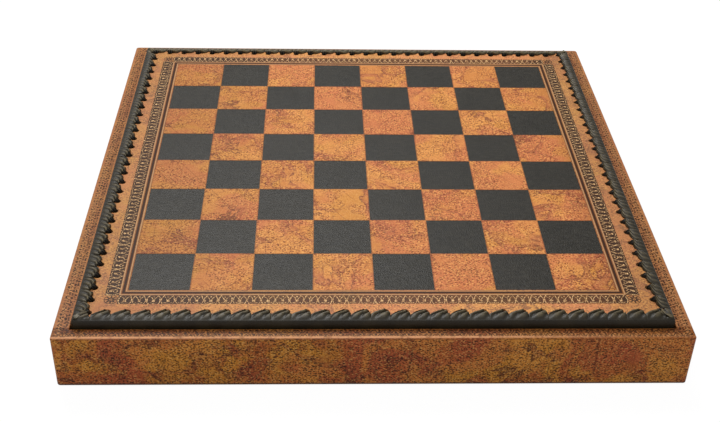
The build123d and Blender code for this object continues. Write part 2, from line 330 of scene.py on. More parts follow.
OCHRE = shade(214, 142, 72)
DULL_OCHRE = shade(204, 136, 62)
RED_LAND = shade(202, 118, 72)
BROWN_STAIN = shade(194, 122, 72)
SHORE_WASH = shade(154, 80, 58)
SHORE_INK = shade(96, 46, 34)
RULED_INK = shade(124, 66, 34)
DUST_DARK = shade(120, 62, 36)
DUST_PALE = shade(246, 192, 124)
AGED_RED = shade(190, 160, 158)
AGED_YELLOW = shade(216, 212, 176)
DEEP_GAP = shade(206, 158, 92)
DEEP_MARK = shade(42, 20, 10)
ROSY = shade(196, 106, 72)
LIGHT_GAP = shade(255, 190, 106)
LIGHT_MARK = shade(110, 52, 30)


def chart_print():
    """An aged chart: tinted lands, washed shores, ruled lines and close engraved marks."""
    tree, takes, gives = start_group(
        "chart print", {"Place": VECTOR, "Crowding": NUMBER, "Deepness": NUMBER}, {"Colour": COLOUR}
    )
    place = takes["Place"]
    across, away, upright = directions(tree, place)

    lands = mottle(tree, place, patch=52.0, detail=3.0, rough=0.55, twist=0.6)
    drawn_out = stretched(tree, place, factors=(1.0, 1.1, 1.3))
    soils = mottle(tree, drawn_out, patch=34.0, detail=2.0, twist=0.8)
    colour = tint(tree, soils.fade(0.46, 0.54), OCHRE, DULL_OCHRE)
    colour = tint(tree, lands.fade(0.47, 0.57) * 0.8, colour, RED_LAND)
    stain = mottle(tree, place, patch=9.0, detail=3.0)
    colour = tint(tree, stain.fade(0.45, 0.75) * 0.3, colour, BROWN_STAIN)

    shore = mottle(tree, place, patch=40.0, detail=5.0, rough=0.58, twist=0.6) - 0.5
    kept = mottle(tree, place, patch=30.0, detail=1.0).fade(0.36, 0.52)
    wash = shore.fade(-0.004, 0.004) * shore.fade(0.075, 0.01) * kept
    colour = tint(tree, wash * 0.6, colour, SHORE_WASH)
    colour = tint(tree, shore.size().fade(0.011, 0.004) * kept * 0.75, colour, SHORE_INK)

    sway = mottle(tree, place, patch=40.0, detail=1.0) * 6.0
    meridians = (across + away * 0.06 + sway).from_nearest(pitch=11.0)
    parallels = (away - across * 0.04 + upright + sway).from_nearest(pitch=9.0)
    bearings = (across * 0.82 + away * 0.57).from_nearest(pitch=17.0)
    tracks = (across * 0.38 - away * 0.92).from_nearest(pitch=23.0)
    open_water = mottle(tree, place, patch=30.0, detail=1.0, twist=0.3)
    grid = meridians.least(parallels).fade(*RULED_LINE) * open_water.fade(0.5, 0.56)
    slants = bearings.least(tracks).fade(*RULED_LINE) * open_water.fade(0.5, 0.44)
    colour = tint(tree, grid.most(slants) * 0.62, colour, RULED_INK)

    flecks = dashes(tree, stretched(tree, place, factors=(0.8, 1.35, 1.35)), cell=1.15, reach=0.36)
    strokes = dashes(tree, stretched(tree, place, factors=(0.5, 1.2, 1.2)), cell=2.2, reach=0.22)
    gaps = dashes(tree, stretched(tree, place, factors=(0.75, 1.25, 1.25)), cell=1.45, reach=0.3)
    crowd = mottle(tree, place, patch=17.0, detail=2.0, twist=0.4) + Reading(tree, takes["Crowding"])
    crowded = crowd.fade(0.88, 1.1)
    marks = flecks.most(strokes) * crowded
    bare = gaps * crowded
    dust = mottle(tree, place, patch=0.75, detail=2.0, rough=0.7)
    colour = tint(tree, dust.fade(0.5, 0.32) * 0.3, colour, DUST_DARK)
    colour = tint(tree, dust.fade(0.5, 0.68) * 0.35, colour, DUST_PALE)

    tone = mottle(tree, place, patch=34.0, detail=4.0, rough=0.55, twist=0.7).fade(0.45, 0.55)
    age = tint(tree, tone, AGED_RED, AGED_YELLOW)
    deep = tint(tree, 1.0, colour, age, "MULTIPLY")
    deep = tint(tree, bare * 0.45, deep, DEEP_GAP)
    deep = tint(tree, marks * 0.9, deep, DEEP_MARK)
    light = tint(tree, tone * 0.26, colour, ROSY)
    light = tint(tree, bare * 0.55, light, LIGHT_GAP)
    light = tint(tree, marks, light, LIGHT_MARK)
    feed(tree, tint(tree, takes["Deepness"], light, deep), gives["Colour"])


def square_frame():
    """Places on a square frame: how far out from the middle, and how far along the side."""
    tree, takes, gives = start_group("square frame", {"Place": VECTOR}, {"Out": NUMBER, "Along": NUMBER})
    across, away = directions(tree, takes["Place"])[:2]
    on_flank = across.size().step("GREATER_THAN", away.size())
    feed(tree, across.size().most(away.size()), gives["Out"])
    feed(tree, across + (away - across) * on_flank, gives["Along"])


def rim_vine(tree, place, off, along):
    """A running vine, off to the side of its middle line: an unsteady stem with a leaf in each hollow."""
    warp = (mottle(tree, place, patch=2.4, detail=1.0) - 0.5) * VINE_WARP
    turn = ((along + warp) * VINE_TURN).step("SINE")
    wobble = (along * (VINE_TURN * 3)).step("SINE")
    off = off + warp * 0.3
    from_stem = (off - turn * VINE_SWAY - wobble * VINE_WOBBLE).size()
    stem = from_stem.fade(VINE_STROKE + VINE_SOFT, VINE_STROKE - VINE_SOFT)
    hollow = (along + warp - VINE_PITCH / 4).from_nearest(VINE_PITCH / 2)
    beside = off + turn.step("SIGN") * VINE_LEAF_SIDE
    leaf = hollow.span(beside).fade(VINE_LEAF + VINE_SOFT, VINE_LEAF - VINE_SOFT)
    return stem.most(leaf)


RIM_GROUND = shade(170, 116, 76)
SHADED_FRONT_GROUND = shade(104, 58, 28)
RIM_SPECK = shade(196, 130, 78)
RIM_STRIP = shade(218, 158, 100)
VINE_INK = shade(40, 20, 12)
EDGE_HIGHLIGHT = shade(214, 154, 110)
SEAT_PAINTED_SHADE = shade(52, 32, 22)
FOOT_DARKER = shade(60, 48, 42)


def printed_covering():
    finish, tree, skin, place = start_finish("printed covering")
    across, away, height = directions(tree, place)
    print_colour = put_group(tree, "chart print", Place=place, Crowding=0.72, Deepness=1.0)["Colour"]
    side = put_group(tree, "square frame", Place=place)
    out = side["Out"]
    along = side["Along"]

    on_rim = height.fade(RIM - RIM_ROUND, RIM - RIM_ROUND / 2)
    off = out - VINE_MIDDLE
    inner_vine = rim_vine(tree, place, off + VINE_ROW / 2, along)
    outer_vine = rim_vine(tree, place, off - VINE_ROW / 2, along + VINE_PITCH / 3)
    vine = inner_vine.most(outer_vine) * on_rim
    patchy = mottle(tree, place, patch=2.6, detail=2.0).fade(0.36, 0.54)
    strip = (off - VINE_ROW / 2).size().fade(VINE_BAND, VINE_BAND_CORE) * on_rim
    to_front = away * -1.0
    # Painted shade: the front rim gets a darker copy of the rim's ground, as it lies in the lid's shade;
    # the side rims keep the lit ground.
    front_rim_shade = to_front.fade(RIM_INNER - FRONT_BLEND, RIM_INNER)
    ground = tint(tree, front_rim_shade, RIM_GROUND, SHADED_FRONT_GROUND)
    colour = tint(tree, on_rim * 0.6, print_colour, ground)
    specks = dashes(tree, place, cell=1.5, reach=0.36) * on_rim
    colour = tint(tree, specks * 0.3, colour, RIM_SPECK)
    colour = tint(tree, strip * (patchy * 0.4), colour, RIM_STRIP)
    colour = tint(tree, vine * (patchy * 0.5 + 0.4), colour, VINE_INK)

    # Painted highlight along the front edge of the rim: a pale band, broken up, strongest on the left and
    # fading out to the right. It also makes the skin a little rougher there.
    highlight_breaks = mottle(tree, place, patch=3.0, detail=4.0, rough=0.6).fade(0.3, 0.55) * 0.6 + 0.4
    highlight_reach = across.fade(HIGHLIGHT_GONE, HIGHLIGHT_FULL) * 0.7 + 0.15
    into_highlight = to_front.fade(BOX_HALF - HIGHLIGHT_FROM_EDGE - HIGHLIGHT_SOFT, BOX_HALF - HIGHLIGHT_FROM_EDGE)
    out_of_highlight = to_front.fade(BOX_HALF - HIGHLIGHT_TO_EDGE + HIGHLIGHT_SOFT, BOX_HALF - HIGHLIGHT_TO_EDGE)
    wear_and_highlight = into_highlight * out_of_highlight * on_rim * highlight_breaks
    colour = tint(tree, wear_and_highlight * highlight_reach, colour, EDGE_HIGHLIGHT)
    # Painted shade on the turned-in cover below the rim, in the gap beside the lid.
    in_seat = out.fade(SEAT_EDGE, SEAT_WALL) * height.fade(SEAT_TOP, SEAT_DARK)
    colour = tint(tree, in_seat * 0.75, colour, SEAT_PAINTED_SHADE)
    # Darker towards the foot of the cover.
    colour = tint(tree, height.fade(FOOT_TOP, FOOT_DARK) * 0.7, colour, FOOT_DARKER)

    grain = put_group(tree, "leather grain", Place=place, Cell=0.9)
    rough = grain["Polish"] * 0.25 + 0.32 + wear_and_highlight * 0.15
    surface(tree, skin, colour, rough, relief=grain["Height"], depth=0.035)
    skin.inputs["Specular IOR Level"].default_value = 0.07
    skin.inputs["Coat Weight"].default_value = 0.02
    skin.inputs["Coat Roughness"].default_value = 0.2
    return finish


leather_grain()
chart_print()
square_frame()
dress([f"{side}_cover" for side in SIDES], printed_covering())

# Linings of the ledges, four strips.
# Velvet cut as straight strips, drawn up the inside of each ledge and over its top, mitred at the corners.
# The board rests on them. A slot in the middle of each lets a divider through.
LINING_ROLL = 1.3
LINING_LIFT = 0.05
LINING_ARC = 5
PILE_STEP = 5.0
PILE_UNEVEN = 0.1
PILE_PATCH = 7.0
SLOT_ROOM = 0.15
CREASE = math.radians(50)
VELVET_DARK = shade(22, 46, 34)
VELVET_PALE = shade(36, 68, 52)
VELVET_ENDS = shade(52, 88, 70)
VELVET_SHEEN = shade(120, 170, 140)
lining_low, lining_high = corners_of("front_lining")
ledge_high = corners_of("front_ledge")[1]
divider_low, divider_high = corners_of("long_divider")
divider_half = (divider_high.y - divider_low.y) / 2


class Shape:
    """Points and faces of one piece while it is being made, in millimetres."""

    def __init__(self):
        self.points = []
        self.faces = []

    def skin(self, rings):
        """Joins closed rings of points one after the other, and caps the first and the last."""
        first = len(self.points)
        size = len(rings[0])
        for ring in rings:
            self.points.extend(ring)
        for row in range(len(rings) - 1):
            start = first + row * size
            for spot in range(size):
                following = (spot + 1) % size
                self.faces.append(
                    (start + spot, start + following, start + size + following, start + size + spot)
                )
        last = first + (len(rings) - 1) * size
        self.faces.append(tuple(reversed(range(first, first + size))))
        self.faces.append(tuple(range(last, last + size)))

    def piece(self, name, finish, body, slot, *replaced):
        """The finished piece: on its body, with its finish, in the place of the pieces that it replaces."""
        mesh = bpy.data.meshes.new(name)
        mesh.from_pydata([Vector(point) * MM for point in self.points], [], self.faces)
        whole = bmesh.new()
        whole.from_mesh(mesh)
        bmesh.ops.recalc_face_normals(whole, faces=whole.faces)
        whole.to_mesh(mesh)
        whole.free()
        mesh.shade_smooth()
        mesh.set_sharp_from_angle(angle=CREASE)
        mesh.materials.append(finish)
        made = bpy.data.objects.new(name, mesh)
        bpy.context.scene.collection.objects.link(made)
        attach(made, body)
        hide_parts(*replaced)
        return made


def pile(point):
    """How far the nap stands up or lies down at a point."""
    return PILE_UNEVEN * noise.noise(Vector(point) / PILE_PATCH)


def steps(start, end, step):
    """Evenly spaced values from start to end, about a step apart."""
    count = max(1, round((end - start) / step))
    return [start + (end - start) * spot / count for spot in range(count + 1)]


def turned(along, out, height, side):
    """A point of the front side, taken round to the named side."""
    quarter = SIDES.index(side)
    across, away = along, -out
    for turn in range(quarter):
        across, away = -away, across
    return (across, away, height)


def nap():
    """Short pile: brushed streaks, soft patches and fine fibre ends."""
    tree, takes, gives = start_group(
        "nap", {"Place": VECTOR, "Pile": NUMBER}, {"Brushed": NUMBER, "Height": NUMBER}
    )
    combed = stretched(tree, takes["Place"], factors=(1.0, 0.5, 0.5))
    brushed = mottle(tree, combed, patch=11.0, detail=3.0, twist=0.5)
    ends = tree.nodes.new("ShaderNodeTexNoise")
    feed(tree, takes["Place"], ends.inputs["Vector"])
    feed(tree, Reading(tree, takes["Pile"]).step("POWER", -1.0), ends.inputs["Scale"])
    ends.inputs["Detail"].default_value = 2.0
    feed(tree, brushed, gives["Brushed"])
    feed(tree, ends.outputs[0], gives["Height"])


def velvet():
    finish, tree, skin, place = start_finish("green velvet")
    cloth = put_group(tree, "nap", Place=place, Pile=0.3)
    brushed = cloth["Brushed"]
    ends = cloth["Height"]
    colour = tint(tree, brushed.fade(0.35, 0.65), VELVET_DARK, VELVET_PALE)
    colour = tint(tree, ends.fade(0.45, 0.7) * 0.4, colour, VELVET_ENDS)
    surface(tree, skin, colour, rough=brushed * 0.2 + 0.75, relief=ends, depth=0.25)
    skin.inputs["Sheen Weight"].default_value = 0.5
    skin.inputs["Sheen Roughness"].default_value = 0.35
    skin.inputs["Sheen Tint"].default_value = VELVET_SHEEN
    skin.inputs["Specular IOR Level"].default_value = 0.15
    return finish


def lining_profile(whole):
    """The strip's outline, out and up from the floor; only its top lap where a divider goes through."""
    face = -lining_high.y
    back = -ledge_high.y - LINING_LIFT
    rest = ledge_high.z + LINING_LIFT
    top = lining_high.z
    edge = -lining_low.y - LINING_LIFT
    turn = [math.pi - math.pi / 2 * spot / LINING_ARC for spot in range(LINING_ARC + 1)]
    roll = [
        (face + LINING_ROLL * (1 + math.cos(angle)), top - LINING_ROLL * (1 - math.sin(angle)))
        for angle in turn
    ]
    lap = [(out, top) for out in steps(face + LINING_ROLL, edge, PILE_STEP / 3)[1:]]
    under = [(edge, rest)]
    if not whole:
        return [(face + LINING_ROLL, rest), (face + LINING_ROLL, top), *lap, *under]
    foot = lining_low.z
    rise = [(face, height) for height in steps(foot, top - LINING_ROLL, PILE_STEP)[:-1]]
    return [*rise, *roll, *lap, *under, (back, rest), (back, foot)]


def lining(side):
    """One strip: two whole lengths, mitred where no end is given, and the slotted one between them."""
    shape = Shape()
    slot_half = divider_half + SLOT_ROOM
    lengths = ((True, None, -slot_half), (False, -slot_half, slot_half), (True, slot_half, None))
    for whole, start, end in lengths:
        profile = lining_profile(whole)
        stations = steps(0, 1, PILE_STEP / BOX_HALF) if whole else (0, 1)
        rings = []
        for share in stations:
            ring = []
            for out, height in profile:
                from_end = -out if start is None else start
                to_end = out if end is None else end
                along = from_end + (to_end - from_end) * share
                lift = pile((along, out + SIDES.index(side), height))
                lift = lift if height > lining_low.z and out < -lining_low.y - LINING_ROLL else 0
                ring.append(turned(along, out + max(lift, 0), min(height + lift, lining_high.z), side))
            rings.append(ring)
        shape.skin(rings)
    made = shape.piece(f"{side}_velvet_lining", velvet_finish, "box", "velvet", f"{side}_lining")


nap()
velvet_finish = velvet()
for side in SIDES:
    lining(side)

# Floor lining.
# One square of the same velvet on the base panel, glued down and cut to fit between the ledges.
FLOOR_STEP = 5.0


def glued_square(name, finish, slot, node, step):
    """A square of cloth on or under the base panel: rings of top and bottom points, with an uneven top."""
    low, high = corners_of(node)
    across = steps(low.x, high.x, step)
    rings = []
    for away in steps(low.y, high.y, step):
        inside = low.y < away < high.y
        top = []
        for spot in across:
            height = high.z
            if inside and low.x < spot < high.x:
                height += pile((spot, away, high.z)) - PILE_UNEVEN
            top.append((spot, away, height))
        bottom = [(spot, away, low.z) for spot in reversed(across)]
        rings.append(top + bottom)
    shape = Shape()
    shape.skin(rings)
    made = shape.piece(name, finish, "box", slot, node)


glued_square("velvet_floor", velvet_finish, "velvet", "floor_lining", FLOOR_STEP)

# Dividers.
# Two thin boards wrapped in the velvet, halved across each other, with their ends in slots in the ledges.
# The long one is notched from above and the cross one from below.
DIVIDER_ROLL = 1.6
DIVIDER_ARC = 5
DIVIDER_LIFT = 0.04
LAP_LEVEL = (divider_low.z + divider_high.z) / 2


def divider_ring(half, foot, top, rolled):
    """Cross-section of a divider, with its top edges rolled over or left square."""
    if not rolled:
        return [(-half, foot), (-half, top), (half, top), (half, foot)]
    ring = [(-half, height) for height in steps(foot, top - DIVIDER_ROLL, PILE_STEP)]
    for spot in range(1, DIVIDER_ARC + 1):
        angle = math.pi / 2 * spot / DIVIDER_ARC
        out = half - DIVIDER_ROLL * (1 - math.cos(angle))
        ring.append((-out, top - DIVIDER_ROLL * (1 - math.sin(angle))))
    return ring + [(-out, height) for out, height in reversed(ring)]


def divider(name, node, long):
    """One divider. The long one runs from left to right, and the other from front to back."""
    low, high = corners_of(node)
    reach = high.x if long else high.y
    notch = divider_half + SLOT_ROOM
    lap = (low.z, LAP_LEVEL - DIVIDER_LIFT, False) if long else (LAP_LEVEL, high.z, True)
    spans = (
        (-reach, -notch, low.z, high.z, True),
        (-notch, notch, *lap),
        (notch, reach, low.z, high.z, True),
    )
    shape = Shape()
    for start, end, foot, top, rolled in spans:
        outline = divider_ring(divider_half - DIVIDER_LIFT, foot + DIVIDER_LIFT, top, rolled)
        rings = []
        for along in steps(start, end, PILE_STEP):
            ring = []
            for aside, height in outline:
                aside *= 1 - abs(pile((along, height, reach))) / divider_half
                ring.append((along, aside, height) if long else (-aside, along, height))
            rings.append(ring)
        shape.skin(rings)
    shape.piece(name, velvet_finish, "box", "velvet", node)


divider("long_velvet_divider", "long_divider", long=True)
divider("cross_velvet_divider", "cross_divider", long=False)

# Underside baize.
# A square of thin green baize, glued under the base panel a little in from the edges. The box rests on it.
BAIZE_STEP = 6.0
BAIZE_DARK = shade(30, 62, 44)
BAIZE_PALE = shade(40, 78, 56)
BAIZE_ENDS = shade(70, 108, 84)


def baize():
    finish, tree, skin, place = start_finish("green baize")
    cloth = put_group(tree, "nap", Place=place, Pile=0.55)
    brushed = cloth["Brushed"]
    ends = cloth["Height"]
    colour = tint(tree, brushed.fade(0.3, 0.7), BAIZE_DARK, BAIZE_PALE)
    colour = tint(tree, ends.fade(0.5, 0.72) * 0.5, colour, BAIZE_ENDS)
    surface(tree, skin, colour, rough=ends * 0.1 + 0.85, relief=ends, depth=0.2)
    skin.inputs["Sheen Weight"].default_value = 0.25
    skin.inputs["Sheen Roughness"].default_value = 0.5
    skin.inputs["Specular IOR Level"].default_value = 0.1
    return finish


glued_square("baize_sheet", baize(), "baize", "underside_baize", BAIZE_STEP)

# Board backing.
# A sheet of dark leatherette glued under the board, plain and matt. The lacing laps over its edges.
BACKING_DARK = shade(46, 44, 40)
BACKING_PALE = shade(62, 60, 54)


def dark_leather(name, dark, pale, cell, depth, least_rough):
    """A dark grained leatherette, in two near colours."""
    finish, tree, skin, place = start_finish(name)
    grain = put_group(tree, "leather grain", Place=place, Cell=cell)
    streaked = stretched(tree, place, factors=(0.35, 1.5, 1.5))
    rubbed_and_painted_light = mottle(tree, streaked, patch=1.5, detail=3.0, rough=0.6)
    clouds = mottle(tree, place, patch=28.0, detail=2.0)
    colour = tint(tree, rubbed_and_painted_light.fade(0.35, 0.7) * 0.6 + clouds * 0.4, dark, pale)
    rough = grain["Polish"] * 0.2 + rubbed_and_painted_light * 0.1 + least_rough
    surface(tree, skin, colour, rough, relief=grain["Height"] * 0.6 + rubbed_and_painted_light * 0.4, depth=depth)
    skin.inputs["Specular IOR Level"].default_value = 0.2
    return finish


dress(
    ["board_backing"],
    dark_leather("backing leather", BACKING_DARK, BACKING_PALE, cell=1.1, depth=0.05, least_rough=0.5),
)

# Board facing.
# The same printed leatherette, glued over the core: the light squares are the bare print.
# Lines and a border of lilies and palmettes frame the field, with a rosette in each corner.
SQUARE = 34.5
FIELD_HALF = 4 * SQUARE
EDGE_LINE = 0.5
PALE_MIDDLE = FIELD_HALF + 0.7
PALE_LINE = 0.45
DARK_MIDDLE = FIELD_HALF + 2.15
DARK_LINE = 1.55
OUTER_MIDDLE = FIELD_HALF + 3.85
OUTER_LINE = 0.5
BAND_INNER = FIELD_HALF + 4.4
BAND_WIDTH = 7.6
BAND_OUTER = BAND_INNER + BAND_WIDTH
BAND_MIDDLE = BAND_INNER + BAND_WIDTH / 2
FLANK_LEFT_START = 30.0
FLANK_RIGHT_START = 122.0
FLANK_FULL = 150.0
LILIES_ALONG = 36
LILY_PITCH = 2 * BAND_INNER / LILIES_ALONG
LILY_HALF = LILY_PITCH / 2
BORDER_WANDER = 1.4
PETALS = 8
PETAL_LEAST = 1.7
PETAL_LONGER = 1.7
ROSETTE_RING = 3.7
SOFT = 0.14
INK = shade(60, 40, 28)
CREAM = shade(234, 192, 136)
SQUARE_OUTLINE = shade(96, 50, 32)
FLANK_DARKER = shade(222, 222, 216)
MARGIN_PALE = shade(222, 182, 134)
FRAME_BROWN = shade(132, 84, 48)
FRAME_PALE = shade(214, 178, 132)
FRAME_DARK = shade(48, 27, 16)


def stroke(distance, width):
    """A soft-edged stroke: 1 within half the width of a line, 0 outside it."""
    return distance.size().fade(width / 2 + SOFT, width / 2 - SOFT)


def bent_stroke(across, along, start, waist, spread, width):
    """A stroke that lies start away from the axis at its waist, and bends out both ways from there."""
    gone = along - waist
    return stroke(across - gone * gone * spread - start, width)


def lily_border(up, beside):
    """Pale strokes of the border: waisted stems, and between two of them a palmette with curling leaves."""
    from_palm = beside * -1.0 + LILY_HALF
    stems = bent_stroke(beside, up, start=0.3, waist=3.4, spread=0.085, width=0.5)
    palms = from_palm.span((up - 2.6) * 1.3).fade(1.15, 0.75)
    leaves = bent_stroke(from_palm, up, start=0.3, waist=2.6, spread=0.12, width=0.45)
    leaves = leaves * up.fade(2.4, 2.9) * up.fade(7.2, 6.6)
    feet = bent_stroke(up, from_palm, start=0.7, waist=0.0, spread=0.12, width=0.4)
    feet = feet * from_palm.fade(2.4, 2.0)
    buds = from_palm.span(up - 6.2).fade(0.65, 0.35)
    return stems.most(palms).most(leaves).most(feet).most(buds)


def rosette(first, second):
    """Dark petals of a corner rosette, from its centre."""
    reach = first.span(second)
    bearing = first.step("ARCTAN2", second)
    petals = ((bearing * PETALS).step("COSINE") * 0.5 + 0.5) * PETAL_LONGER + PETAL_LEAST
    flower = (reach - petals).fade(0.15, -0.15) * reach.fade(0.7, 0.95)
    ring = stroke(reach - ROSETTE_RING, 0.5)
    eye = reach.fade(0.5, 0.3)
    return flower.most(ring).most(eye)


def printed_facing():
    finish, tree, skin, place = start_finish("printed facing")
    colour = put_group(tree, "chart print", Place=place, Crowding=0.58, Deepness=0.0)["Colour"]
    side = put_group(tree, "square frame", Place=place)
    out = side["Out"]
    along = side["Along"]
    across, away = directions(tree, place)[:2]

    edge = across.from_nearest(SQUARE).least(away.from_nearest(SQUARE))
    in_field = out.fade(FIELD_HALF + SOFT, FIELD_HALF - SOFT)
    outline = edge.fade(EDGE_LINE, EDGE_LINE - 2 * SOFT) * in_field
    colour = tint(tree, outline * 0.45, colour, SQUARE_OUTLINE)
    # Darker towards the left and right edges, starting further in on the left; the border's ink is a little
    # stronger there too.
    flank_darkening = (across * -1.0).fade(FLANK_LEFT_START, FLANK_FULL).most(across.fade(FLANK_RIGHT_START, FLANK_FULL))
    colour = tint(tree, flank_darkening, colour, FLANK_DARKER, "MULTIPLY")
    in_corner = across.size().least(away.size()).step("GREATER_THAN", BAND_INNER)
    margin = out.fade(BAND_OUTER, BAND_OUTER + SOFT).most(in_corner)
    colour = tint(tree, margin * 0.15, colour, MARGIN_PALE)

    framed = out.fade(FIELD_HALF, FIELD_HALF + SOFT) * out.fade(BAND_INNER + SOFT, BAND_INNER)
    colour = tint(tree, framed * 0.7, colour, FRAME_BROWN)
    pale = stroke(out - PALE_MIDDLE, PALE_LINE).most(stroke(out - OUTER_MIDDLE, OUTER_LINE))
    colour = tint(tree, pale * 0.6, colour, FRAME_PALE)
    colour = tint(tree, stroke(out - DARK_MIDDLE, DARK_LINE) * 0.95, colour, FRAME_DARK)

    in_band = stroke(out - BAND_MIDDLE, BAND_WIDTH)
    on_side = in_band * (in_corner * -1.0 + 1.0)
    wander = (mottle(tree, place, patch=1.8, detail=1.0) - 0.5) * BORDER_WANDER
    up = out * -1.0 + BAND_OUTER
    lilies = lily_border(up + wander, (along + wander).from_nearest(LILY_PITCH))
    wear_and_highlight = mottle(tree, place, patch=1.1, detail=2.0).fade(0.2, 0.5) * 0.25
    frayed = dashes(tree, place, cell=0.95, reach=0.46) * 0.6 + 0.4
    ground = on_side * (lilies * frayed * -1.0 + 1.0)
    colour = tint(tree, lilies * on_side * frayed, colour, CREAM)
    colour = tint(tree, ground * (wear_and_highlight + 0.62 + flank_darkening * 0.16), colour, INK)
    flower = rosette(across.size() - BAND_MIDDLE, away.size() - BAND_MIDDLE)
    colour = tint(tree, flower * in_corner * in_band * (wear_and_highlight + 0.7), colour, INK)

    grain = put_group(tree, "leather grain", Place=place, Cell=0.9)
    surface(tree, skin, colour, grain["Polish"] * 0.25 + 0.36, relief=grain["Height"], depth=0.03)
    skin.inputs["Specular IOR Level"].default_value = 0.1
    return finish


dress(["board_facing"], printed_facing())

# Dark squares.
# Squares of dark leatherette pressed into pockets in the facing, a hair below it, with a fine satin grain.
SQUARE_DARK = shade(22, 20, 14)
SQUARE_PALE = shade(51, 47, 38)
dress(
    ["dark_squares"],
    dark_leather("dark squares", SQUARE_DARK, SQUARE_PALE, cell=1.2, depth=0.24, least_rough=0.27),
)

# Lacing.
# A wide soft leather thong, whipped over the edge of the board through a row of punched holes.
# Each turn comes up gathered out of its hole, fans out over the top in folds, and lies flat down the edge.
STITCHES = 29
HOLE_INSET = 7.7
HOLE_HALF = 2.0
HOLE_BACK = 0.9
HOLE_ASIDE = 0.2
HOLE_DEPTH = 2.2
HOLE_STEP = 0.6
LACE_END = 6.9
LACE_LEAD = 2.55
LACE_GAP = 0.02
LACE_LIFT = 0.05
LACE_LEAN = math.radians(12)
SHOULDER = 4.4
LONG_BOW = {"front": 0.5, "right": 1.2, "back": 1.2, "left": 1.7}
BOW_DRIFT = 0.5
SHORT_BOW = -0.6
BOW_PLACE = 0.32
MOUTH_BEND = 0.7
INNER_BEND = 0.15
CORNER_BEND = 0.25
CORNER_SHOULDER = 2.6
MOUTH_NOSE = 0.7
MOUTH_RISE = 2.35
SHOULDER_RISE = 1.55
EDGE_RISE = 0.37
PLEATS = {"front": 1.7, "right": 2.6, "back": 2.6, "left": 2.6}
PLEAT_DRIFT = 0.4
PLEAT_DEEP = 0.75
PLEAT_SHARP = 4
ROLL_SHARP = 3
FACE_SHARP = 4
TOP_DRIFT = 0.5
SHOULDER_PLEAT = 0.8
FAN_OPENS = 0.1
EDGE_ROLL = 0.45
# Each point of a turn is marked with its painted light: 0 in a fold, the side's highlight on a ridge,
# IN_HOLE (a shade) in the hole.
RIDGE = "ridge"
IN_HOLE = -1
MOUTH_DARK = 0.18
RIDGE_HIGHLIGHT = {"front": 0.45, "right": 0.55, "back": 0.7, "left": 0.6}
ACROSS_COUNT = 30
FAN_COUNT = 9
TOP_COUNT = 7
FACE_COUNT = 4
UNDER_COUNT = 3
BEND_COUNT = 5
CREST = (0.9, 1.08)
PLEATS_STRAY = 0.4
PHASE_STRAY = 0.2
BOW_STRAY = 0.2
SEED = 29
LACE_DARK = shade(29, 24, 13)
LACE_PALE = shade(38, 32, 18)
LACE_BACK_HIGHLIGHT = shade(92, 84, 62)
LACE_RUBBED_AND_LIT = shade(124, 110, 78)
LACE_RIDGE_HIGHLIGHT = shade(126, 112, 80)
LACE_HOLE_SHADE = shade(12, 9, 6)
board_high = corners_of("board_facing")[1]
board_foot = corners_of("board_backing")[0].z
lace_thick = corners_of("front_lacing")[1].x - board_high.x
RUBBED_AND_LIT_HEIGHTS = (board_high.z + 0.9, board_high.z + 2.2)
BACK_HIGHLIGHT_HEIGHTS = (board_high.z + 0.4, board_high.z + 1.2)
BACK_HIGHLIGHT_PLACES = (board_high.y - 12.0, board_high.y - 8.0)
LACE_PITCH = 2 * (board_high.x - LACE_END) / STITCHES
LACE_TAIL = LACE_PITCH - LACE_GAP - LACE_LEAD
UP = Vector((0, 0, 1))
FRONT = Vector((0, -1, 0))
RIGHT = Vector((1, 0, 0))
ACROSS = [0.5 - 0.5 * math.cos(math.pi * spot / ACROSS_COUNT) for spot in range(ACROSS_COUNT + 1)]
habits = random.Random(SEED)


def ease(value, start, end):
    """0 at start, 1 at end and smooth between them."""
    share = min(max((value - start) / (end - start), 0), 1)
    return share * share * (3 - 2 * share)


def shares(count):
    """Even shares of a run, from just past its start to its end."""
    return [spot / count for spot in range(1, count + 1)]


def lace_leather():
    finish, tree, skin, place = start_finish("lacing leather")
    grain = put_group(tree, "leather grain", Place=place, Cell=0.6)
    away, height = directions(tree, place)[1:]
    creases = mottle(tree, place, patch=1.4, detail=4.0, rough=0.6, twist=0.6)
    clouds = mottle(tree, place, patch=12.0, detail=2.0)
    marked = tree.nodes.new("ShaderNodeAttribute")
    marked.attribute_name = RIDGE
    ridge = Reading(tree, marked.outputs["Fac"])
    # The high crests are paler: partly rubbed wear, partly a painted highlight on the tops.
    rubbed_and_painted_light = height.fade(*RUBBED_AND_LIT_HEIGHTS) * creases.fade(0.3, 0.65)
    # Painted highlight: the tops of the back row are paler, as if lit by the lamp behind.
    back_row_highlight = away.fade(*BACK_HIGHLIGHT_PLACES) * height.fade(*BACK_HIGHLIGHT_HEIGHTS)
    colour = tint(tree, clouds.fade(0.35, 0.65), LACE_DARK, LACE_PALE)
    colour = tint(tree, back_row_highlight * 0.7, colour, LACE_BACK_HIGHLIGHT)
    colour = tint(tree, rubbed_and_painted_light * 0.7, colour, LACE_RUBBED_AND_LIT)
    # Painted highlight on the fold ridges, stronger at the back and sides than at the front.
    colour = tint(tree, ridge * 0.45, colour, LACE_RIDGE_HIGHLIGHT)
    # Painted shade where the thong dips into its hole.
    colour = tint(tree, ridge * IN_HOLE * 0.85, colour, LACE_HOLE_SHADE)
    rough = grain["Polish"] * 0.2 + creases * 0.15 + 0.28
    surface(tree, skin, colour, rough, relief=grain["Height"] * 0.4 + creases * 0.6, depth=0.06)
    skin.inputs["Specular IOR Level"].default_value = 0.34
    return finish


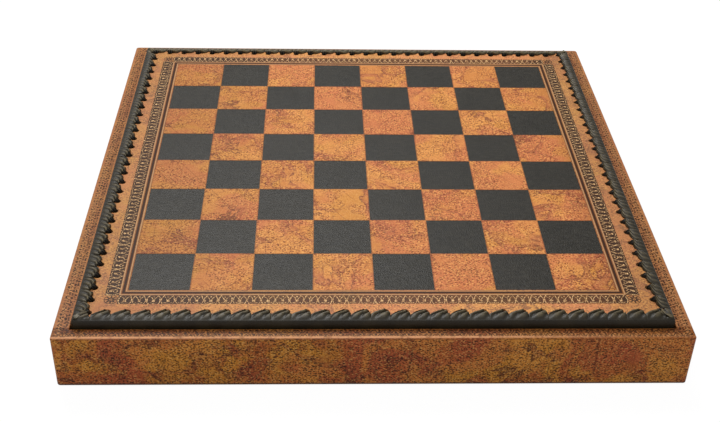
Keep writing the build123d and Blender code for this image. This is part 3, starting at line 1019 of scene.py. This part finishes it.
def turn_column(share, hole, leave, foot, shoulder, bows, habit):
    """The thong at one share of a turn's width, from its hole round the edge and back under it: the inner
    point, the outer point and the mark of painted light at each station."""
    beside = Vector((-leave.y, leave.x, 0))
    thick = lace_thick - LACE_LIFT
    top = board_high.z + LACE_LIFT
    bottom = board_foot - LACE_LIFT
    roll = EDGE_ROLL + (1 - EDGE_ROLL) * math.sqrt(1 - abs(2 * share - 1) ** ROLL_SHARP)
    edge, way = foot(share)
    edge = edge + way * LACE_LIFT
    nose = MOUTH_NOSE * (1 - (2 * share - 1) ** 2)
    rim = hole + leave * (HOLE_BACK - nose) + beside * ((share - 0.5) * 2 * HOLE_HALF - HOLE_ASIDE)
    start = rim + leave * MOUTH_BEND
    turn = edge - way * shoulder
    flank = turn - start
    bow = bows[0] + (bows[1] - bows[0]) * share
    middle = start + flank * BOW_PLACE + Vector((flank.y, -flank.x, 0)).normalized() * 2 * bow
    inner_end = edge - way * INNER_BEND
    column = []

    def fold(part):
        """1 in a crease and 0 on a ridge. The creases drift back as they fan out."""
        spot = habit["pleats"] * (share + PLEAT_DRIFT * part) + habit["phase"]
        return abs(math.cos(math.pi * spot))

    def rise(height, gathered, part):
        """The leather's height, creased where it is gathered."""
        crease = PLEAT_DEEP * fold(part) ** PLEAT_SHARP
        return habit["crest"] * height * (1 - crease * gathered) * (1 - (1 - roll) * gathered)

    def bend(centre, before, after, radius, height, mark=0):
        """A quarter turn of the leather round a centre, from facing before to facing after."""
        for part in shares(BEND_COUNT):
            angle = math.pi / 2 * part
            normal = before * math.cos(angle) + after * math.sin(angle)
            inner = centre + normal * radius
            column.append((inner, inner + normal * height(part), mark))

    # Inside the hole the thong is marked for painted shade.
    for depth in steps(HOLE_DEPTH, MOUTH_BEND, -HOLE_STEP):
        wall = rim + UP * (top - depth)
        column.append((wall, wall - leave * rise(thick, 1, 0), IN_HOLE))
    bend(
        start + UP * (top - MOUTH_BEND), -leave, UP, MOUTH_BEND,
        lambda part: rise(thick + (MOUTH_RISE - thick) * part, 1, 0), IN_HOLE,
    )
    for part in shares(FAN_COUNT):
        plan = start * (1 - part) ** 2 + middle * 2 * part * (1 - part) + turn * part ** 2 + UP * top
        height = MOUTH_RISE + (SHOULDER_RISE - MOUTH_RISE) * part
        gathered = 1 - (1 - SHOULDER_PLEAT) * ease(part, FAN_OPENS, 1)
        # Ridges get a painted highlight; near the mouth it blends into the hole's painted shade.
        rubbed_and_painted_light = habit["wear_and_highlight"] * (1 - fold(part))
        rubbed_and_painted_light = IN_HOLE + (rubbed_and_painted_light - IN_HOLE) * ease(part, 0, MOUTH_DARK)
        column.append((plan, plan + UP * rise(height, gathered, part), rubbed_and_painted_light))
    for part in shares(TOP_COUNT):
        inner = turn + (inner_end - turn) * part + UP * top
        height = EDGE_RISE + (SHOULDER_RISE - EDGE_RISE) * (1 - part * part)
        drift = 1 + TOP_DRIFT * part
        height = rise(height, SHOULDER_PLEAT * math.sqrt(1 - part), drift)
        # The ridges' painted highlight fades out towards the edge.
        column.append((inner, inner + UP * height, habit["wear_and_highlight"] * (1 - fold(drift)) * (1 - part)))
    edge_height = rise(EDGE_RISE, 0, 0)
    bend(inner_end + UP * (top - INNER_BEND), UP, way, INNER_BEND, lambda part: edge_height)
    for part in shares(FACE_COUNT):
        inner = edge + UP * (top - INNER_BEND + (bottom - top + 2 * INNER_BEND) * part)
        height = edge_height + (thick - edge_height) * math.sqrt(1 - (1 - part) ** FACE_SHARP)
        column.append((inner, inner + way * height, 0))
    bend(inner_end + UP * (bottom + INNER_BEND), way, -UP, INNER_BEND, lambda part: thick)
    for part in shares(UNDER_COUNT):
        inner = inner_end + (start - inner_end) * part + UP * bottom
        column.append((inner, inner - UP * thick, 0))
    bend(start + UP * (bottom + MOUTH_BEND), -UP, -leave, MOUTH_BEND, lambda part: thick * roll)
    return column


def lay_turn(shape, hole, leave, foot, shoulder, bows, habit):
    """One turn of the thong. It leaves its hole one way, bows out on its two flanks up to the shoulder, and
    goes over the edge where foot says: the point of the board's edge, and the way out of it, for each share
    of the turn's width."""
    columns = [turn_column(share, hole, leave, foot, shoulder, bows, habit) for share in ACROSS]
    rings = []
    for station in zip(*columns):
        inner, outer, painted_marks = zip(*station)
        rings.append(outer + inner[::-1])
        # The outer points carry the marks of painted light; the inner points carry none.
        shape.ridges += painted_marks + (0,) * len(painted_marks)
    shape.skin(rings)


def new_habit(side):
    """How one turn differs from the next, and one side from another."""
    return {
        "crest": habits.uniform(*CREST),
        "pleats": PLEATS[side] + habits.uniform(-PLEATS_STRAY, PLEATS_STRAY),
        "phase": habits.uniform(-PHASE_STRAY, PHASE_STRAY),
        "bow": LONG_BOW[side] + habits.uniform(-BOW_STRAY, BOW_STRAY),
        # How strong the ridges' painted highlight is on this side.
        "wear_and_highlight": RIDGE_HIGHLIGHT[side],
    }


def corner_outline(start, stop):
    """The board's edge round its front right corner, from start on the front to stop on the right."""
    corner = Vector((board_high.x - CORNER_BEND, CORNER_BEND - board_high.x, 0))
    front_run = corner.x - start
    bend_run = CORNER_BEND * math.pi / 2
    side_run = stop - corner.y

    def foot(share):
        gone = share * (front_run + bend_run + side_run) - front_run
        if gone < 0:
            return corner + FRONT * CORNER_BEND + RIGHT * gone, FRONT
        if gone > bend_run:
            return corner + RIGHT * CORNER_BEND - FRONT * (gone - bend_run), RIGHT
        angle = gone / CORNER_BEND
        way = FRONT * math.cos(angle) + RIGHT * math.sin(angle)
        return corner + way * CORNER_BEND, way

    return foot


def straight_outline(tail, lead):
    """The board's front edge under one turn."""

    def foot(share):
        return Vector((tail + (lead - tail) * share, -board_high.x, 0)), FRONT

    return foot


def front_lacing(side):
    """One side's lacing, made at the front: the plain turns, then the one that goes round the corner."""
    shape = Shape()
    shape.ridges = []
    hole_line = HOLE_INSET - board_high.x
    first_hole = LACE_END - board_high.x + LACE_PITCH
    leave = FRONT * math.cos(LACE_LEAN) - RIGHT * math.sin(LACE_LEAN)
    for stitch in range(STITCHES):
        habit = new_habit(side)
        hole = Vector((first_hole + LACE_PITCH * stitch, hole_line, 0))
        foot = straight_outline(hole.x - LACE_TAIL, hole.x + LACE_LEAD)
        bow = habit["bow"] + BOW_DRIFT * stitch / STITCHES
        lay_turn(shape, hole, leave, foot, SHOULDER, (bow, SHORT_BOW), habit)
    foot = corner_outline(hole.x + LACE_LEAD + LACE_GAP, first_hole - LACE_TAIL - LACE_GAP)
    lay_turn(shape, hole, (FRONT + RIGHT).normalized(), foot, CORNER_SHOULDER, (0, 0), new_habit(side))
    return shape


lace_finish = lace_leather()
for side in SIDES:
    lacing = front_lacing(side)
    turn = Matrix.Rotation(math.pi / 2 * SIDES.index(side), 3, "Z")
    lacing.points = [turn @ point for point in lacing.points]
    thong = lacing.piece(f"{side}_thong", lace_finish, "board_lid", "lacing_leather", f"{side}_lacing")
    thong.data.attributes.new(RIDGE, "FLOAT", "POINT").data.foreach_set("value", lacing.ridges)

# Floor, light and camera.
# A plain white table, a wide soft lamp overhead and behind, a weaker one in front, and pale light around.
FLOOR_SIZE = 8.0
FLOOR_PALE = 0.8
FLOOR_SEEN = 0.06
FLOOR_GLOW = 0.96
SKY = 0.36


def seen_directly(tree):
    """1 for what the camera, a reflection or a see-through part shows, 0 for light that bounces."""
    path = tree.nodes.new("ShaderNodeLightPath")
    rays = ("Is Camera Ray", "Is Glossy Ray", "Is Transmission Ray")
    camera, glossy, through = [Reading(tree, path.outputs[ray]) for ray in rays]
    return camera.most(glossy).most(through)


def floor_paint():
    finish = bpy.data.materials.new("white table")
    finish.use_nodes = True
    tree = finish.node_tree
    tree.nodes.clear()
    lit = tree.nodes.new("ShaderNodeBsdfDiffuse")
    lit.inputs["Color"].default_value = (FLOOR_PALE, FLOOR_PALE, FLOOR_PALE, 1)
    shown = tree.nodes.new("ShaderNodeBsdfDiffuse")
    shown.inputs["Color"].default_value = (FLOOR_SEEN, FLOOR_SEEN, FLOOR_SEEN, 1)
    glow = tree.nodes.new("ShaderNodeEmission")
    glow.inputs["Strength"].default_value = FLOOR_GLOW
    both = tree.nodes.new("ShaderNodeAddShader")
    feed(tree, shown.outputs[0], both.inputs[0])
    feed(tree, glow.outputs[0], both.inputs[1])
    choice = tree.nodes.new("ShaderNodeMixShader")
    feed(tree, seen_directly(tree), choice.inputs[0])
    feed(tree, lit.outputs[0], choice.inputs[1])
    feed(tree, both.outputs[0], choice.inputs[2])
    output = tree.nodes.new("ShaderNodeOutputMaterial")
    feed(tree, choice.outputs[0], output.inputs["Surface"])
    return finish


def table_top():
    half = FLOOR_SIZE / 2
    mesh = bpy.data.meshes.new("table_top")
    corners = [(-half, -half, 0), (half, -half, 0), (half, half, 0), (-half, half, 0)]
    mesh.from_pydata(corners, [], [(0, 1, 2, 3)])
    mesh.materials.append(floor_paint())
    top = bpy.data.objects.new("table_top", mesh)
    bpy.context.scene.collection.objects.link(top)


def sky():
    world = bpy.data.worlds.new("pale room")
    world.use_nodes = True
    bpy.context.scene.world = world
    tree = world.node_tree
    backdrop = tree.nodes["Background"]
    backdrop.inputs["Color"].default_value = (1, 1, 1, 1)
    path = tree.nodes.new("ShaderNodeLightPath")
    camera = Reading(tree, path.outputs["Is Camera Ray"])
    feed(tree, camera * (1 - SKY) + SKY, backdrop.inputs["Strength"])


def soft_lamp(name, place, aim, size, power):
    lamp = bpy.data.lights.new(name, "AREA")
    lamp.shape = "RECTANGLE"
    lamp.size, lamp.size_y = size
    lamp.energy = power
    holder = bpy.data.objects.new(name, lamp)
    bpy.context.scene.collection.objects.link(holder)
    holder.location = place
    holder.rotation_euler = (Vector(aim) - Vector(place)).to_track_quat("-Z", "Y").to_euler()


table_top()
sky()
soft_lamp("overhead", place=(-0.25, 0.8, 1.2), aim=(0, 0, 0), size=(0.9, 0.6), power=17.0)
soft_lamp("front fill", place=(-0.1, -1.0, 1.25), aim=(0, 0, 0.02), size=(0.7, 0.5), power=6.6)

VIEW_PLACE = Vector((-32.3, -633.1, 432.6)) * MM
VIEW_TURN = math.radians(2.656)
VIEW_TILT = math.radians(34.45)
VIEW_ROLL = math.radians(1.628)
SENSOR = 36.0
LENS = 56.04
NEAREST = 0.01

camera = bpy.data.objects.new("camera", bpy.data.cameras.new("camera"))
bpy.context.scene.collection.objects.link(camera)
camera.data.sensor_fit = "HORIZONTAL"
camera.data.sensor_width = SENSOR
camera.data.lens = LENS
camera.data.clip_start = NEAREST
look = Matrix.Rotation(-VIEW_TURN, 4, "Z") @ Matrix.Rotation(math.pi / 2 - VIEW_TILT, 4, "X")
camera.matrix_world = Matrix.Translation(VIEW_PLACE) @ look @ Matrix.Rotation(VIEW_ROLL, 4, "Z")
bpy.context.scene.camera = camera
bpy.context.scene.view_settings.view_transform = "Standard"
